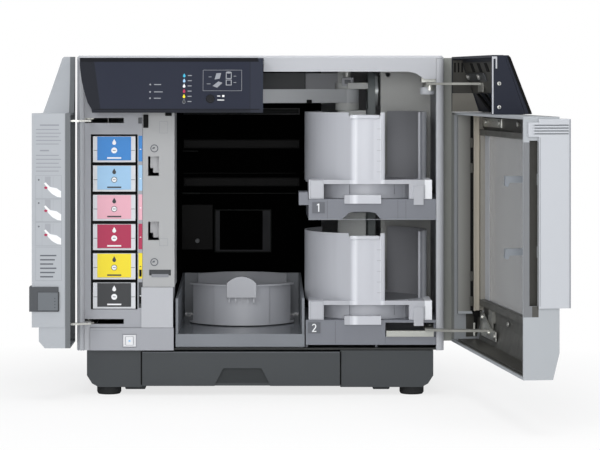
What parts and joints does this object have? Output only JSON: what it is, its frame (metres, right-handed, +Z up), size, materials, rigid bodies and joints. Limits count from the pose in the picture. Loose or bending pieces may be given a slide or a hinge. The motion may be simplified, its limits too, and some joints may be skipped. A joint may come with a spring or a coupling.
{
  "type": "disc label printer",
  "caption": "Desktop disc publisher that moves discs by arm between stackers, drives and a label printer; both front covers open.",
  "frame": {"origin": "middle of the whole part's footprint with both covers open, at the foot soles", "axes": "+Z up, -Y towards the user, +X to the user's right"},
  "size_m": [0.514, 0.7097, 0.348],
  "materials": {
    "base": "fine texture, dark grey",
    "rubber": "matt",
    "sheet": "plain sheet metal",
    "case": "fine texture, light cool grey",
    "unit_case": "plain grey case",
    "case_light": "fine texture, light cool grey",
    "case_back": "painted",
    "navy": "satin navy",
    "navy_key": "matt navy",
    "white_key": "satin white",
    "black": "matt black",
    "steel": "bright",
    "mid_grey": "matt",
    "board": "satin green",
    "dark_metal": "satin",
    "arm_grey": "matt",
    "shelf_grey": "satin mid grey",
    "stacker": "satin silver grey",
    "smoke": "smoked, slightly frosted",
    "dark_grey": "matt",
    "ink_blue": "label",
    "ink_light_blue": "label",
    "ink_pink": "label",
    "ink_magenta": "label",
    "ink_yellow": "label",
    "ink_black": "label"
  },
  "bodies": {
    "cabinet": {"base_pan": "base", "rubber_feet": "rubber", "deck_plate": "sheet", "left_side_panel": "case", "right_side_panel": "case", "rear_panel": "case_back", "top_cover": "case", "control_panel": "navy", "ink_frame": "case", "ink_bay": "black", "pillar": "case", "pillar_lower_cover": "case", "power_panel": "case", "drive_wall": "black", "disc_drive_1": "unit_case", "disc_drive_2": "unit_case", "printer_chassis": "sheet", "carriage_rod": "steel", "power_supply": "unit_case", "main_board": "board", "fan_frame": "black", "rear_sockets": "black", "arm_tower": "sheet", "guide_rod": "steel", "lift_belt": "rubber", "lift_motor": "dark_metal", "shelf_1": "shelf_grey", "shelf_2": "shelf_grey", "tray_3": "shelf_grey", "hinge_brackets": "steel"},
    "disc_door": {"disc_cover": "case", "disc_cover_cap": "navy", "disc_cover_window": "smoke", "disc_cover_handle": "case_light", "disc_cover_arms": "steel"},
    "ink_door": {"ink_cover": "case", "ink_cover_arms": "steel"},
    "ink_door_latch": {"ink_cover_latch": "dark_grey"},
    "select_key": {"select_button": "navy_key"},
    "power_key": {"power_button": "white_key"},
    "tray_a": {"drive_tray_1": "black"},
    "tray_b": {"drive_tray_2": "black"},
    "label_tray": {"print_tray": "mid_grey"},
    "head": {"print_head": "black"},
    "rotor": {"fan_rotor": "black"},
    "drum": {"lift_drum": "dark_metal"},
    "pulley": {"motor_pulley": "dark_metal"},
    "carriage": {"arm_carriage": "mid_grey"},
    "arm": {"transfer_arm": "arm_grey"},
    "plunger": {"gripper_plunger": "black"},
    "drum_stacker_1": {"stacker_1": "stacker"},
    "drum_stacker_2": {"stacker_2": "stacker"},
    "dish": {"stacker_3": "stacker"},
    "drawer_4": {"drawer": "base"},
    "cartridge_1": {"ink_cartridge_1": "ink_blue"},
    "cartridge_2": {"ink_cartridge_2": "ink_light_blue"},
    "cartridge_3": {"ink_cartridge_3": "ink_pink"},
    "cartridge_4": {"ink_cartridge_4": "ink_magenta"},
    "cartridge_5": {"ink_cartridge_5": "ink_yellow"},
    "cartridge_6": {"ink_cartridge_6": "ink_black"}
  },
  "joints": [
    {"name": "disc_cover_hinge", "type": "hinge", "parent": "cabinet", "child": "disc_door", "pos_m": [0.1507, -0.0625, 0.2], "axis": [0, 0, 1], "range_deg": [-97.2, 0]},
    {"name": "ink_cover_hinge", "type": "hinge", "parent": "cabinet", "child": "ink_door", "pos_m": [-0.2014, -0.074, 0.18], "axis": [0, 0, -1], "range_deg": [-90, 0]},
    {"name": "ink_latch_pull", "type": "slide", "parent": "ink_door", "child": "ink_door_latch", "axis": [-1, 0, 0], "range_m": [0, 0.004], "stiffness_N_per_m": 120, "springref_m": -0.002},
    {"name": "select_press", "type": "slide", "parent": "cabinet", "child": "select_key", "axis": [0, 1, 0], "range_m": [0, 0.0015], "stiffness_N_per_m": 250, "springref_m": -0.001},
    {"name": "power_press", "type": "slide", "parent": "cabinet", "child": "power_key", "axis": [0, 1, 0], "range_m": [0, 0.0015], "stiffness_N_per_m": 250, "springref_m": -0.001},
    {"name": "drive_tray_1_slide", "type": "slide", "parent": "cabinet", "child": "tray_a", "axis": [0, -1, 0], "range_m": [0, 0.13]},
    {"name": "drive_tray_2_slide", "type": "slide", "parent": "cabinet", "child": "tray_b", "axis": [0, -1, 0], "range_m": [0, 0.13]},
    {"name": "print_tray_slide", "type": "slide", "parent": "cabinet", "child": "label_tray", "axis": [0, -1, 0], "range_m": [0, 0.11]},
    {"name": "print_head_slide", "type": "slide", "parent": "cabinet", "child": "head", "axis": [1, 0, 0], "range_m": [0, 0.06]},
    {"name": "fan_spin", "type": "hinge", "parent": "cabinet", "child": "rotor", "pos_m": [0.0856, 0.342, 0.105], "axis": [0, -1, 0], "continuous": true},
    {"name": "arm_lift", "type": "slide", "parent": "cabinet", "child": "carriage", "axis": [0, 0, 1], "range_m": [-0.18, 0]},
    {"name": "arm_swing", "type": "hinge", "parent": "carriage", "child": "arm", "pos_m": [0.0716, 0.101, 0.305], "axis": [0, 0, 1], "range_deg": [0, 79.3]},
    {"name": "gripper_press", "type": "slide", "parent": "arm", "child": "plunger", "axis": [0, 0, 1], "range_m": [0, 0.003]},
    {"name": "drum_spin", "type": "hinge", "parent": "cabinet", "child": "drum", "pos_m": [0.0996, 0.102, 0.311], "axis": [1, 0, 0], "range_deg": [-1, 500]},
    {"name": "pulley_spin", "type": "hinge", "parent": "cabinet", "child": "pulley", "pos_m": [0.0996, 0.102, 0.085], "axis": [1, 0, 0], "range_deg": [-1, 500]},
    {"name": "stacker_1_slide", "type": "slide", "parent": "cabinet", "child": "drum_stacker_1", "axis": [0, -1, 0], "range_m": [0, 0.15]},
    {"name": "stacker_2_slide", "type": "slide", "parent": "cabinet", "child": "drum_stacker_2", "axis": [0, -1, 0], "range_m": [0, 0.15]},
    {"name": "stacker_3_lift", "type": "slide", "parent": "cabinet", "child": "dish", "axis": [0, 0, 1], "range_m": [0, 0.048]},
    {"name": "drawer_slide", "type": "slide", "parent": "cabinet", "child": "drawer_4", "axis": [0, -1, 0], "range_m": [0, 0.15]},
    {"name": "cartridge_1_slide", "type": "slide", "parent": "cabinet", "child": "cartridge_1", "axis": [0, -1, 0], "range_m": [0, 0.12]},
    {"name": "cartridge_2_slide", "type": "slide", "parent": "cabinet", "child": "cartridge_2", "axis": [0, -1, 0], "range_m": [0, 0.12]},
    {"name": "cartridge_3_slide", "type": "slide", "parent": "cabinet", "child": "cartridge_3", "axis": [0, -1, 0], "range_m": [0, 0.12]},
    {"name": "cartridge_4_slide", "type": "slide", "parent": "cabinet", "child": "cartridge_4", "axis": [0, -1, 0], "range_m": [0, 0.12]},
    {"name": "cartridge_5_slide", "type": "slide", "parent": "cabinet", "child": "cartridge_5", "axis": [0, -1, 0], "range_m": [0, 0.12]},
    {"name": "cartridge_6_slide", "type": "slide", "parent": "cabinet", "child": "cartridge_6", "axis": [0, -1, 0], "range_m": [0, 0.12]}
  ],
  "couplings": [
    {"joint": "drum_spin", "follows": "arm_lift", "rad_per_m": -47.847},
    {"joint": "pulley_spin", "follows": "arm_lift", "rad_per_m": -47.847}
  ]
}
